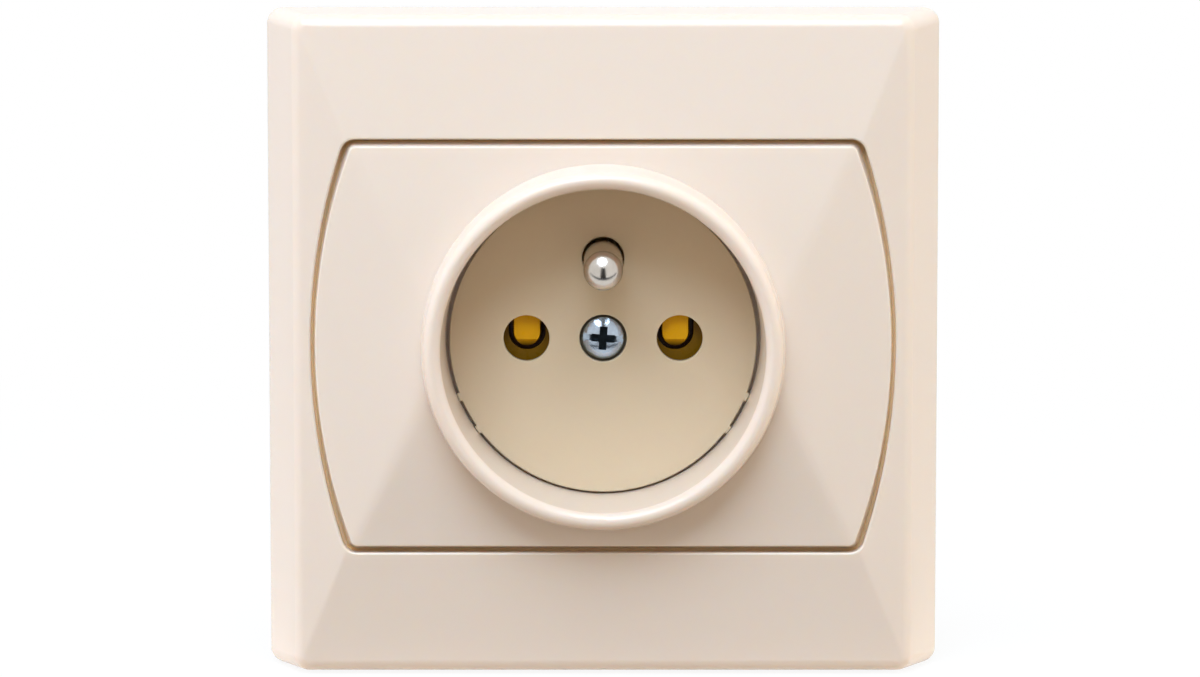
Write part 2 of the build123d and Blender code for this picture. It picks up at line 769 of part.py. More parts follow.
def socket_contact(side):
    """Sprung clip for one plug pin, with a rail that carries the terminal tab."""
    with BuildPart() as clip:
        with BuildSketch(Plane(origin=(side * pin_x, 0, 0), x_dir=(1, 0, 0), z_dir=(0, 0, -1))):
            with BuildLine() as spring_path:
                Polyline(
                    (-contact_flare, contact_front),
                    (-contact_pinch, contact_pinch_height),
                    (-contact_half_gap, contact_straight_height),
                    (-contact_half_gap, contact_back + contact_thickness / 2),
                    (contact_half_gap, contact_back + contact_thickness / 2),
                    (contact_half_gap, contact_straight_height),
                    (contact_pinch, contact_pinch_height),
                    (contact_flare, contact_front),
                )
            trace(spring_path.line, contact_thickness)
        extrude(amount=contact_half_width, both=True)
        with BuildSketch(upright.offset(side * rail_x)):
            with BuildLine():
                Polyline(
                    (0, contact_straight_height),
                    (tab_start_z, contact_straight_height),
                    (tab_start_z, tab_front),
                    (tab_end_z, tab_front),
                    (tab_end_z, rail_bottom),
                    (0, rail_bottom),
                    close=True,
                )
            make_face()
        extrude(amount=contact_thickness / 2, both=True)
        with BuildSketch(front(tab_front - contact_thickness)):
            with Locations((side * tab_inner_x, terminal_z)):
                Rectangle(tab_width, tab_length, align=(Align.MIN if side > 0 else Align.MAX, Align.CENTER))
        extrude(amount=contact_thickness)
        with BuildSketch(front(tab_front - contact_thickness)):
            with Locations((side * terminal_x, terminal_z)):
                Circle(terminal_screw_radius + terminal_screw_clearance)
        extrude(amount=contact_thickness, mode=Mode.SUBTRACT)
    return clip.part


# Line contact on the left and neutral contact on the right
with BuildPart() as line_contact:
    add(socket_contact(-1))
line_contact.part.label = "line_contact"
export_step(line_contact.part, "parts/line_contact.step")

with BuildPart() as neutral_contact:
    add(socket_contact(1))
neutral_contact.part.label = "neutral_contact"
export_step(neutral_contact.part, "parts/neutral_contact.step")

# Earth strip under the earth pin, with its terminal at the top
with BuildPart() as earth_strip:
    with BuildSketch(front(earth_strip_back)):
        with Locations((0, earth_strip_start)):
            strip_length = earth_strip_end - earth_strip_start
            RectangleRounded(earth_strip_width, strip_length, contact_thickness, align=upward)
        with Locations((0, earth_pin_z)):
            Circle(earth_rivet_radius, mode=Mode.SUBTRACT)
        with Locations((0, earth_terminal_z)):
            Circle(terminal_screw_radius + terminal_screw_clearance, mode=Mode.SUBTRACT)
    extrude(amount=contact_thickness)
earth_strip.part.label = "earth_strip"
export_step(earth_strip.part, "parts/earth_strip.step")


def wire_clamp(x, z, width, length):
    """Clamp plate under a terminal screw, with its edges turned in."""
    with BuildPart() as clamp:
        with BuildSketch(front(clamp_front - clamp_thickness)):
            with Locations((x, z)):
                RectangleRounded(width, length, clamp_corner_radius)
                Circle(terminal_screw_radius + terminal_screw_clearance, mode=Mode.SUBTRACT)
        extrude(amount=clamp_thickness)
        with BuildSketch(front(clamp_front - clamp_thickness)):
            with Locations((x, z)):
                with GridLocations(clamp_groove_spacing, 0, 2, 1):
                    Rectangle(clamp_groove_width, length)
        extrude(amount=clamp_groove_depth, mode=Mode.SUBTRACT)
    return clamp.part


with BuildPart() as line_clamp:
    add(wire_clamp(-terminal_x, terminal_z, clamp_width, clamp_length))
line_clamp.part.label = "line_clamp"
export_step(line_clamp.part, "parts/line_clamp.step")

with BuildPart() as neutral_clamp:
    add(wire_clamp(terminal_x, terminal_z, clamp_width, clamp_length))
neutral_clamp.part.label = "neutral_clamp"
export_step(neutral_clamp.part, "parts/neutral_clamp.step")

with BuildPart() as earth_clamp:
    add(wire_clamp(0, earth_terminal_z, earth_strip_width, clamp_length))
earth_clamp.part.label = "earth_clamp"
export_step(earth_clamp.part, "parts/earth_clamp.step")

# Three terminal screws
with BuildPart() as terminal_screws:
    with BuildSketch(front(terminal_screw_end)):
        with Locations(*terminal_places):
            Circle(terminal_screw_radius)
    extrude(amount=clamp_front - terminal_screw_end)
    with BuildSketch(front(clamp_front)):
        with Locations(*terminal_places):
            Circle(terminal_head_radius)
    extrude(amount=terminal_head_height)
    with BuildSketch(front(terminal_head_front - terminal_slot_depth)):
        with Locations(*terminal_places):
            Rectangle(terminal_slot_width, 2 * terminal_head_radius)
    extrude(amount=terminal_slot_depth, mode=Mode.SUBTRACT)
terminal_screws.part.label = "terminal_screws"
export_step(terminal_screws.part, "parts/terminal_screws.step")

# Mounting strap: steel plate against the wall with lugs bent back for the claws
with BuildPart() as mounting_strap:
    with BuildSketch(front(0)):
        RectangleRounded(2 * strap_half_width, 2 * strap_half_height, strap_corner_radius)
        Circle(strap_opening_radius, mode=Mode.SUBTRACT)
        with Locations((0, -box_screw_z), (0, box_screw_z)):
            SlotOverall(box_screw_slot_length, 2 * box_screw_slot_radius, rotation=90, mode=Mode.SUBTRACT)
        with Locations((-claw_screw_x, 0), (claw_screw_x, 0)):
            Circle(claw_screw_radius + claw_screw_clearance, mode=Mode.SUBTRACT)
        with Locations(*rivet_places):
            Circle(rivet_radius + rivet_clearance, mode=Mode.SUBTRACT)
    extrude(amount=strap_thickness)
    for side in (-1, 1):
        for lug_z in (-lug_inner_z, lug_inner_z + lug_thickness):
            with BuildSketch(across.offset(-lug_z)):
                with Locations((side * claw_pivot_x, claw_pivot_height)):
                    Rectangle(2 * lug_half_width, -claw_pivot_height, align=upward)
                    Circle(lug_half_width)
                    Circle(claw_pin_radius + rivet_clearance, mode=Mode.SUBTRACT)
            extrude(amount=lug_thickness)
mounting_strap.part.label = "mounting_strap"
export_step(mounting_strap.part, "parts/mounting_strap.step")

# Four rivets that hold the strap to the base
with BuildPart() as strap_rivets:
    with BuildSketch(front(rivet_end)):
        with Locations(*rivet_places):
            Circle(rivet_radius)
    extrude(amount=strap_thickness - rivet_end)
    with BuildSketch(front(strap_thickness)):
        with Locations(*rivet_places):
            Circle(rivet_head_radius)
    extrude(amount=rivet_head_height)
strap_rivets.part.label = "strap_rivets"
export_step(strap_rivets.part, "parts/strap_rivets.step")


def spreading_claw(side):
    """Bent lever: a forked arm for the screw, a hub on the pin and a leg with a toothed tip."""
    with BuildPart() as claw:
        with BuildSketch(across):
            with BuildLine() as bend:
                Polyline(
                    (side * claw_arm_end_x, claw_pivot_height),
                    (side * claw_pivot_x, claw_pivot_height),
                    (side * claw_leg_x, claw_knee_height),
                    (side * claw_leg_x, claw_leg_end + 2 * claw_tip_reach),
                    (side * (claw_leg_x + claw_tip_reach), claw_leg_end),
                )
            trace(bend.line, claw_thickness)
            with Locations((side * claw_pivot_x, claw_pivot_height)):
                Circle(claw_hub_radius)
                Circle(claw_pin_radius + claw_pin_clearance, mode=Mode.SUBTRACT)
        extrude(amount=claw_width / 2, both=True)
        with BuildSketch(front(claw_pivot_height - claw_thickness)):
            with Locations((side * claw_screw_x, 0)):
                SlotOverall(2 * claw_slot_length, 2 * claw_slot_radius)
            with Locations((side * (claw_screw_x - claw_slot_radius), 0)):
                Rectangle(
                    2 * claw_slot_length,
                    2 * claw_slot_radius,
                    align=(Align.MAX if side > 0 else Align.MIN, Align.CENTER),
                    mode=Mode.SUBTRACT,
                )
        extrude(amount=2 * claw_thickness, mode=Mode.SUBTRACT)
        with BuildSketch(upright):
            with GridLocations(claw_tooth_pitch, 0, claw_tooth_count, 1):
                with BuildLine():
                    Polyline(
                        (-claw_tooth_pitch / 2, claw_leg_end - claw_tooth_depth),
                        (claw_tooth_pitch / 2, claw_leg_end - claw_tooth_depth),
                        (0, claw_leg_end + claw_tooth_depth),
                        close=True,
                    )
                make_face()
        extrude(amount=side * base_radius, mode=Mode.SUBTRACT)
    return claw.part


with BuildPart() as claw_left:
    add(spreading_claw(-1))
claw_left.part.label = "claw_left"
export_step(claw_left.part, "parts/claw_left.step")

with BuildPart() as claw_right:
    add(spreading_claw(1))
claw_right.part.label = "claw_right"
export_step(claw_right.part, "parts/claw_right.step")

# Two hinge pins through the lugs
with BuildPart() as claw_pins:
    for side in (-1, 1):
        for head_z, length, radius in (
            (-lug_outer_z, 2 * lug_outer_z, claw_pin_radius),
            (lug_outer_z, claw_pin_head_height, claw_pin_head_radius),
            (-lug_outer_z - claw_pin_head_height, claw_pin_head_height, claw_pin_head_radius),
        ):
            with BuildSketch(Plane.XY.offset(head_z)):
                with Locations((side * claw_pivot_x, -claw_pivot_height)):
                    Circle(radius)
            extrude(amount=length)
claw_pins.part.label = "claw_pins"
export_step(claw_pins.part, "parts/claw_pins.step")

# Two claw screws with their heads on the front of the strap
with BuildPart() as claw_screws:
    with BuildSketch(front(claw_screw_end)):
        with Locations((-claw_screw_x, 0), (claw_screw_x, 0)):
            Circle(claw_screw_radius)
    extrude(amount=strap_thickness - claw_screw_end)
    with BuildSketch(front(strap_thickness)):
        with Locations((-claw_screw_x, 0), (claw_screw_x, 0)):
            Circle(claw_screw_head_radius)
    extrude(amount=claw_screw_head_height)
    with BuildSketch(front(strap_thickness + claw_screw_head_height - terminal_slot_depth)):
        with Locations((-claw_screw_x, 0), (claw_screw_x, 0)):
            Rectangle(terminal_slot_width, 2 * claw_screw_head_radius)
    extrude(amount=terminal_slot_depth, mode=Mode.SUBTRACT)
claw_screws.part.label = "claw_screws"
export_step(claw_screws.part, "parts/claw_screws.step")

# Two square nuts behind the forked arms
with BuildPart() as claw_nuts:
    with BuildSketch(front(claw_nut_front - claw_nut_thickness)):
        with Locations((-claw_screw_x, 0), (claw_screw_x, 0)):
            RectangleRounded(claw_nut_across_flats, claw_nut_across_flats, claw_nut_gap)
            Circle(claw_screw_radius + terminal_screw_clearance, mode=Mode.SUBTRACT)
    extrude(amount=claw_nut_thickness)
claw_nuts.part.label = "claw_nuts"
export_step(claw_nuts.part, "parts/claw_nuts.step")
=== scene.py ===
"""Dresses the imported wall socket: plastic, plated metal, springs, threads and a plain studio."""

import json
import math
from collections import namedtuple
from functools import cache

import bmesh
import bpy
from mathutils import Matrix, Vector


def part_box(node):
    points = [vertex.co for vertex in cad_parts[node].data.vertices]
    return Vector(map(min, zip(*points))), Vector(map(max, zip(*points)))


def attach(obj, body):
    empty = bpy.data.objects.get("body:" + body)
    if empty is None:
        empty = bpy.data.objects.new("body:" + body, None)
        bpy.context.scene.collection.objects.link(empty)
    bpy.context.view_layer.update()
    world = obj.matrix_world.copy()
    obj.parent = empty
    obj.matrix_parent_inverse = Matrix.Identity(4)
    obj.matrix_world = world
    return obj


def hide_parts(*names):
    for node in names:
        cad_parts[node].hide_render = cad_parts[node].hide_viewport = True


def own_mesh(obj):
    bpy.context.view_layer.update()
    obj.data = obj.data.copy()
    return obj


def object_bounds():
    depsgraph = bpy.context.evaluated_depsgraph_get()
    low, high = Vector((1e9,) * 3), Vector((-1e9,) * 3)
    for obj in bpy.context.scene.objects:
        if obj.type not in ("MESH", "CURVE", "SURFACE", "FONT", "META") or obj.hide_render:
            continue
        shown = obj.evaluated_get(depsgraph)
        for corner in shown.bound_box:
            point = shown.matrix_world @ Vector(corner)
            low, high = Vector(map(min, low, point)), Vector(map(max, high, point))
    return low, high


bl_info = {
    "name": "Wall Socket",
    "version": (1, 0, 0),
    "blender": (4, 5, 0),
    "location": "View3D > Sidebar > Wall Socket",
    "description": "Gives the packed wall socket its finishes, springs, threads and studio",
    "category": "Object",
}

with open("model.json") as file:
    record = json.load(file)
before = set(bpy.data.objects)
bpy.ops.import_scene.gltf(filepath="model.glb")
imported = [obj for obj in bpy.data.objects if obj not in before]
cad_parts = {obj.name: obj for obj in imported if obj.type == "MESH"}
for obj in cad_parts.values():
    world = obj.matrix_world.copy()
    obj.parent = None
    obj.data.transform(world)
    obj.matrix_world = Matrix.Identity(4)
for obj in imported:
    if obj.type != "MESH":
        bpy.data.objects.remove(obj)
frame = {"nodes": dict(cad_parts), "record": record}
cad_low, cad_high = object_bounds()

BEHAVIOUR = frame["record"]["behaviour"]
MM = 0.001
MIX_FIRST, MIX_SECOND, MIX_RESULT = 6, 7, 2  # places of the colour sockets of a Mix node
ROUND_SEGMENTS = 2  # faces across the small round on an edge
FACE_WEIGHT = 100  # how far large faces keep their shading flat
THREAD_SINK = 1.2  # radii by which the middle of a thread's round lies below the plain shaft

# The joint round the cover, where golden light is painted into the plastic: its heights off
# the wall, and, from the front, the circle outside which and the box in which it lies.
JOINT_LOW, JOINT_HIGH = 7.9 * MM, 9.2 * MM
JOINT_BLUR = 0.3 * MM
JOINT_CIRCLE = 24 * MM
JOINT_HALF_WIDTH, JOINT_HALF_HEIGHT = 36 * MM, 25.6 * MM
JOINT_SPECULAR, PLAIN_SPECULAR = 0.05, 0.5


def node_body(node):
    """Name of the CAD body that a node rides on."""
    return next(body for body, nodes in BEHAVIOUR["bodies"].items() if node in nodes)


def node_slot(node):
    """Material slot that the record gives a node."""
    return next(row["material_slot"] for row in frame["record"]["subparts"] if row["node"] == node)


class SocketSizes(bpy.types.PropertyGroup):
    """Sizes of the details that the scene adds."""

    merge_distance: bpy.props.FloatProperty(
        name="Merge distance",
        description="Corners of the packed triangles closer than this are one corner",
        default=0.002 * MM,
        precision=7,
        subtype="DISTANCE",
        unit="LENGTH",
    )
    flat_angle: bpy.props.FloatProperty(
        name="Flat angle",
        description="Packed triangles that turn less than this are one flat face",
        default=math.radians(0.15),
        subtype="ANGLE",
        unit="ROTATION",
    )
    sharp_angle: bpy.props.FloatProperty(
        name="Sharp angle",
        description="Edges that turn more than this are shaded as edges",
        default=math.radians(32.0),
        subtype="ANGLE",
        unit="ROTATION",
    )
    edge_round: bpy.props.FloatProperty(
        name="Edge round",
        description="Width of the small round on edges that a mould or a press leaves",
        default=0.12 * MM,
        precision=6,
        subtype="DISTANCE",
        unit="LENGTH",
    )
    tongue_rise: bpy.props.FloatProperty(
        name="Tongue rise",
        description="Height of the shutter's tongues above its covers",
        default=1.0 * MM,
        precision=6,
        subtype="DISTANCE",
        unit="LENGTH",
    )
    spring_wire: bpy.props.FloatProperty(
        name="Spring wire",
        description="Radius of the wire of the shutter springs",
        default=0.2 * MM,
        precision=6,
        subtype="DISTANCE",
        unit="LENGTH",
    )
    spring_turns: bpy.props.FloatProperty(
        name="Spring turns",
        description="Turns of a shutter spring",
        default=6.25,
    )
    thread_pitch: bpy.props.FloatProperty(
        name="Thread pitch",
        description="Distance from one turn of a screw thread to the next",
        default=0.6 * MM,
        precision=6,
        subtype="DISTANCE",
        unit="LENGTH",
    )
    thread_wire: bpy.props.FloatProperty(
        name="Thread round",
        description="Radius of the rounded crest of a screw thread",
        default=0.16 * MM,
        precision=6,
        subtype="DISTANCE",
        unit="LENGTH",
    )
    coil_steps: bpy.props.IntProperty(
        name="Coil steps",
        description="Steps in one turn of a coil",
        default=28,
    )
    wire_sides: bpy.props.IntProperty(
        name="Wire sides",
        description="Sides of a round wire",
        default=10,
    )


class SocketColours(bpy.types.PropertyGroup):
    """Colours of the finishes."""

    cream: bpy.props.FloatVectorProperty(
        name="Cream plastic",
        description="Moulded frame and cover",
        default=(0.8, 0.67, 0.56),
        subtype="COLOR",
        min=0,
        max=1,
    )
    joint: bpy.props.FloatVectorProperty(
        name="Joint",
        # Golden light painted on the plastic down in the gap round the cover, standing in for light
        # that comes through it
        description="Plastic down in the joint round the cover, where light comes through it",
        default=(1.0, 0.76, 0.48),
        subtype="COLOR",
        min=0,
        max=1,
    )
    floor: bpy.props.FloatVectorProperty(
        name="Recess floor",
        description="Insert in the plug recess",
        default=(0.76, 0.62, 0.44),
        subtype="COLOR",
        min=0,
        max=1,
    )
    amber: bpy.props.FloatVectorProperty(
        name="Amber plastic",
        description="Shutter behind the pin holes",
        default=(0.9, 0.45, 0.004),
        subtype="COLOR",
        min=0,
        max=1,
    )
    amber_cover_shade: bpy.props.FloatVectorProperty(
        name="Amber cover",
        # Painted shade on the shutter cover behind its tongues, where the pin holes shade it
        description="Shutter cover behind its tongues, in the shade of the pin holes",
        default=(0.26, 0.125, 0.001),
        subtype="COLOR",
        min=0,
        max=1,
    )
    amber_shade: bpy.props.FloatVectorProperty(
        name="Amber shade",
        # Painted shade on the shutter down in its grooves
        description="Shutter down in its grooves",
        default=(0.06, 0.012, 0.001),
        subtype="COLOR",
        min=0,
        max=1,
    )
    blue_zinc: bpy.props.FloatVectorProperty(
        name="Blue zinc",
        description="Head of the centre screw",
        default=(0.42, 0.49, 0.57),
        subtype="COLOR",
        min=0,
        max=1,
    )
    slot_shade: bpy.props.FloatVectorProperty(
        name="Slot shade",
        # Painted shade on the centre screw down in its slots
        description="Centre screw down in its slots",
        default=(0.07, 0.12, 0.15),
        subtype="COLOR",
        min=0,
        max=1,
    )
    base: bpy.props.FloatVectorProperty(
        name="Base plastic",
        description="Insulating base behind the wall",
        default=(0.5, 0.5, 0.48),
        subtype="COLOR",
        min=0,
        max=1,
    )
    zinc: bpy.props.FloatVectorProperty(
        name="Zinc plate",
        description="Strap, claws and screws",
        default=(0.62, 0.63, 0.66),
        subtype="COLOR",
        min=0,
        max=1,
    )
    nickel: bpy.props.FloatVectorProperty(
        name="Nickel plate",
        description="Earth pin",
        default=(0.60, 0.555, 0.50),
        subtype="COLOR",
        min=0,
        max=1,
    )
    spring: bpy.props.FloatVectorProperty(
        name="Spring steel",
        description="Shutter springs and claw pins",
        default=(0.45, 0.46, 0.48),
        subtype="COLOR",
        min=0,
        max=1,
    )
    brass: bpy.props.FloatVectorProperty(
        name="Brass",
        description="Contacts, bush and rivets",
        default=(0.78, 0.52, 0.2),
        subtype="COLOR",
        min=0,
        max=1,
    )


class SocketStudio(bpy.types.PropertyGroup):
    """Camera and light."""

    lens: bpy.props.FloatProperty(
        name="Lens",
        description="Focal length on a 36 mm wide sensor",
        default=176.62,
        subtype="DISTANCE_CAMERA",
    )
    distance: bpy.props.FloatProperty(
        name="Camera distance",
        description="From the camera to the point it aims at",
        default=0.7316,
        subtype="DISTANCE",
        unit="LENGTH",
    )
    elevation: bpy.props.FloatProperty(
        name="Camera elevation",
        description="Height of the camera above the level of the socket",
        default=math.radians(6.916),
        subtype="ANGLE",
        unit="ROTATION",
    )
    aim: bpy.props.FloatVectorProperty(
        name="Aim",
        description="Point in the middle of the picture",
        default=(-0.386 * MM, 0, -0.225 * MM),
        precision=6,
        subtype="XYZ",
        unit="LENGTH",
    )
    key_power: bpy.props.FloatProperty(
        name="Key light",
        description="Power of the soft box above the socket",
        default=8.3,
        unit="POWER",
    )
    left_power: bpy.props.FloatProperty(
        name="Left light",
        description="Power of the soft box on the left",
        default=4.5,
        unit="POWER",
    )
    right_power: bpy.props.FloatProperty(
        name="Right light",
        description="Power of the soft box on the right",
        default=3.9,
        unit="POWER",
    )
    key_tint: bpy.props.FloatVectorProperty(
        name="Key tint",
        description="Colour of the light above, a little cool like a window",
        default=(0.67, 0.815, 1.0),
        subtype="COLOR",
        min=0,
        max=1,
    )
    left_tint: bpy.props.FloatVectorProperty(
        name="Left tint",
        description="Colour of the light on the left",
        default=(0.76, 0.84, 1.0),
        subtype="COLOR",
        min=0,
        max=1,
    )
    right_tint: bpy.props.FloatVectorProperty(
        name="Right tint",
        description="Colour of the light on the right",
        default=(0.97, 0.97, 0.96),
        subtype="COLOR",
        min=0,
        max=1,
    )
    sky: bpy.props.FloatVectorProperty(
        name="Ceiling",
        description="Light from all round above",
        default=(0.51, 0.5, 0.46),
        subtype="COLOR",
        min=0,
        max=1,
    )
    ground: bpy.props.FloatVectorProperty(
        name="Ground",
        description="Light from all round below",
        default=(0.02, 0.02, 0.02),
        subtype="COLOR",
        min=0,
        max=1,
    )


def sizes():
    """The size settings of the scene."""
    return bpy.context.scene.socket_sizes


def colours():
    """The colour settings of the scene."""
    return bpy.context.scene.socket_colours


def studio():
    """The camera and light settings of the scene."""
    return bpy.context.scene.socket_studio


class NodeKit:
    """Shorthands for the shader nodes of a material or a world."""

    def __init__(self, tree):
        self.nodes, self.links = tree.nodes, tree.links

    def add(self, kind, **settings):
        """Adds a node with settings of its own, such as the operation."""
        node = self.nodes.new("ShaderNode" + kind)
        for name, value in settings.items():
            setattr(node, name, value)
        return node

    def feed(self, socket, value):
        """Links an output to a socket, or sets the socket to a value."""
        if isinstance(value, bpy.types.NodeSocket):
            self.links.new(value, socket)
        else:
            socket.default_value = value

    def coordinates(self, kind):
        """Texture coordinates of a kind, such as Object."""
        return self.add("TexCoord").outputs[kind]

    def axes(self, place):
        """The x, y and z of a place."""
        split = self.add("SeparateXYZ")
        self.feed(split.inputs["Vector"], place)
        return split.outputs

    def span(self, value, low, high, start=0.3, end=0.7):
        """Maps a value from start to end onto low to high. The default suits noise."""
        node = self.add("MapRange")
        limits = {"From Min": start, "From Max": end, "To Min": low, "To Max": high}
        for name, limit in limits.items():
            self.feed(node.inputs[name], limit)
        self.feed(node.inputs["Value"], value)
        return node.outputs["Result"]

    def mix(self, factor, first, second):
        """Mixes two colours, each a value or an output."""
        node = self.add("Mix", data_type="RGBA")
        self.feed(node.inputs["Factor"], factor)
        for place, colour in ((MIX_FIRST, first), (MIX_SECOND, second)):
            linked = isinstance(colour, bpy.types.NodeSocket)
            self.feed(node.inputs[place], colour if linked else (*colour, 1))
        return node.outputs[MIX_RESULT]

    def combine(self, operation, first, second=0):
        """One step of arithmetic on outputs or values."""
        node = self.add("Math", operation=operation)
        self.feed(node.inputs[0], first)
        self.feed(node.inputs[1], second)
        return node.outputs["Value"]

    def seen_directly(self):
        """1 for a ray from the camera, a gloss or a clear material, and 0 for any other."""
        path = self.add("LightPath").outputs
        seen = self.combine("MAXIMUM", path["Is Camera Ray"], path["Is Glossy Ray"])
        return self.combine("MAXIMUM", seen, path["Is Transmission Ray"])


class Finish(NodeKit):
    """A material under construction, with its shader and its object coordinates."""

    def __init__(self, name):
        self.material = bpy.data.materials.new(name)
        self.material.use_nodes = True
        super().__init__(self.material.node_tree)
        self.shader = next(node for node in self.nodes if node.type == "BSDF_PRINCIPLED")
        self.place = self.coordinates("Object")

    def set(self, **values):
        """Feeds sockets of the shader, such as roughness or metallic."""
        for name, value in values.items():
            title = name.replace("_", " ").title().replace("Ior", "IOR")
            self.feed(self.shader.inputs[title], value)
        return self

    def noise(self, size, detail=2.0, roughness=0.5, stretch=(1, 1, 1)):
        """Noise with blobs of about a size, in metres."""
        mapping = self.add("Mapping")
        self.feed(mapping.inputs["Scale"], stretch)
        self.feed(mapping.inputs["Vector"], self.place)
        texture = self.add("TexNoise")
        self.feed(texture.inputs["Vector"], mapping.outputs["Vector"])
        self.feed(texture.inputs["Scale"], 1 / size)
        self.feed(texture.inputs["Detail"], detail)
        self.feed(texture.inputs["Roughness"], roughness)
        return texture.outputs["Fac"]

    def patchy(self, colour, darkest, lightest, **noise):
        """A colour in patches that are a little darker and lighter than it."""
        patches = self.span(self.noise(**noise), 0, 1)
        return self.mix(patches, shade(colour, darkest), shade(colour, lightest))

    def gloss(self, sharpest, dullest, **noise):
        """Feeds the roughness, which changes in patches between two values."""
        return self.set(roughness=self.span(self.noise(**noise), sharpest, dullest))

    def bump(self, depth, **noise):
        """Raises the surface by a noise, depth in metres."""
        node = self.add("Bump")
        self.feed(node.inputs["Strength"], 1)
        self.feed(node.inputs["Distance"], depth)
        self.feed(node.inputs["Height"], self.noise(**noise))
        return self.set(normal=node.outputs["Normal"])

    def depth(self, top, bottom):
        """How deep a point lies: 0 at one height off the wall, 1 at a lower one, in metres."""
        return self.span(self.axes(self.place)["Y"], 0, 1, -top, -bottom)

    def joint(self):
        """Where golden light is painted: 1 down in the gap round the cover, and 0 elsewhere."""
        x, y, z = self.axes(self.place)
        x_square = self.combine("MULTIPLY", x, x)
        z_square = self.combine("MULTIPLY", z, z)
        parts = (
            self.span(y, 1, 0, -JOINT_LOW - JOINT_BLUR, -JOINT_LOW),
            self.span(y, 0, 1, -JOINT_HIGH, -JOINT_HIGH + JOINT_BLUR),
            self.combine("GREATER_THAN", self.combine("ADD", x_square, z_square), JOINT_CIRCLE**2),
            self.combine("LESS_THAN", x_square, JOINT_HALF_WIDTH**2),
            self.combine("LESS_THAN", z_square, JOINT_HALF_HEIGHT**2),
        )
        inside = parts[0]
        for part in parts[1:]:
            inside = self.combine("MULTIPLY", inside, part)
        return inside


def shade(colour, factor):
    """A colour made lighter or darker."""
    return tuple(min(1.0, channel * factor) for channel in colour)


def moulded(name, colour):
    """Pale moulded plastic with faint flow marks, which lets a little light in below its skin."""
    finish = Finish(name)
    finish.body = finish.patchy(colour, 0.994, 1.006, size=40 * MM, detail=1)
    return finish.set(
        base_color=finish.body,
        subsurface_weight=0.5,
        subsurface_radius=(1.0, 0.7, 0.45),
        subsurface_scale=1.5 * MM,
    )


@cache
def cream_plastic():
    """Glossy cream plastic of the frame and the cover, with golden light painted in and less gloss
    down in the gap between them.
    """
    finish = moulded("cream_plastic", colours().cream).set(roughness=0.24, ior=1.45)
    joint = finish.joint()
    return finish.set(
        # Painted light: a golden glow painted into the gap round the cover, standing in for light
        # through the plastic.
        base_color=finish.mix(joint, finish.body, colours().joint),
        specular_ior_level=finish.span(joint, PLAIN_SPECULAR, JOINT_SPECULAR, 0, 1),
    ).material


@cache
def floor_plastic():
    """Satin cream plastic of the recess floor, with painted shade down in its holes."""
    dark_starts, dark_ends, darkness = 0.25 * MM, 0.9 * MM, 0.3
    finish = moulded("floor_plastic", colours().floor).set(roughness=0.4, ior=1.35)
    top = -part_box("socket_insert")[0][1]
    # Painted shade: the floor colour darkens with depth down its holes.
    painted_hole_shade = finish.depth(top - dark_starts, top - dark_ends)
    dark = shade(colours().floor, darkness)
    return finish.set(base_color=finish.mix(painted_hole_shade, finish.body, dark)).material


@cache
def amber_plastic():
    """Amber plastic, with painted shade dimming the covers behind its tongues and darker painted
    shade in the grooves beside them.
    """
    tongue_edge, cover_edge, groove_floor = 0.2 * MM, 0.1 * MM, 0.7 * MM
    finish = Finish("amber_plastic")
    body = finish.patchy(colours().amber, 0.95, 1.04, size=2 * MM, detail=2)
    tongue = -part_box("shutter")[0][1]
    cover = tongue - sizes().tongue_rise
    # Painted shade: deeper than the tongues the amber is painted dim, and darker still in the
    # grooves.
    behind = finish.depth(tongue - tongue_edge, cover + cover_edge)
    painted_groove_shade = finish.depth(cover - cover_edge, cover - groove_floor)
    dim = finish.mix(behind, body, colours().amber_cover_shade)
    finish.gloss(0.25, 0.35, size=1.2 * MM, detail=2)
    return finish.set(base_color=finish.mix(painted_groove_shade, dim, colours().amber_shade), ior=1.3).material


@cache
def base_plastic():
    """Matt grey moulding of the base, with a fine spark-eroded grain."""
    finish = Finish("base_plastic")
    finish.gloss(0.5, 0.64, size=0.8 * MM, detail=3)
    finish.bump(0.012 * MM, size=0.22 * MM, detail=3, roughness=0.6)
    body = finish.patchy(colours().base, 0.93, 1.05, size=8 * MM, detail=4)
    return finish.set(base_color=body, ior=1.48).material


@cache
def zinc_plate():
    """Zinc plating: pale, slightly blue, with soft patches and rolling marks."""
    finish = Finish("zinc_plate")
    finish.gloss(0.24, 0.42, size=1.5 * MM, detail=4, roughness=0.6)
    finish.bump(0.004 * MM, size=0.5 * MM, detail=3, stretch=(1, 1, 0.06))
    body = finish.patchy(colours().zinc, 0.88, 1.06, size=5 * MM, detail=4, roughness=0.6)
    return finish.set(base_color=body, metallic=1).material


@cache
def blue_zinc():
    """Bright zinc with a blue passivated skin, with painted shade down in the driver slots."""
    dark_starts, dark_ends = 0.35 * MM, 1.3 * MM
    finish = Finish("blue_zinc")
    finish.gloss(0.12, 0.22, size=0.7 * MM, detail=3, roughness=0.6)
    finish.bump(0.03 * MM, size=0.6 * MM, detail=2)
    body = finish.patchy(colours().blue_zinc, 0.85, 1.12, size=1.2 * MM, detail=3, roughness=0.6)
    head = -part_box("centre_screw")[0][1]
    # Painted shade: the zinc darkens with depth down the driver slots.
    slot = finish.depth(head - dark_starts, head - dark_ends)
    return finish.set(base_color=finish.mix(slot, body, colours().slot_shade), metallic=1).material


@cache
def nickel_plate():
    """Polished nickel with faint turning marks and handling haze."""
    finish = Finish("nickel_plate")
    finish.gloss(0.17, 0.24, size=0.9 * MM, detail=3)
    finish.bump(0.0015 * MM, size=0.25 * MM, detail=2, stretch=(0.1, 1, 0.1))
    body = finish.patchy(colours().nickel, 0.93, 1.05, size=1.5 * MM, detail=3)
    return finish.set(base_color=body, metallic=1).material


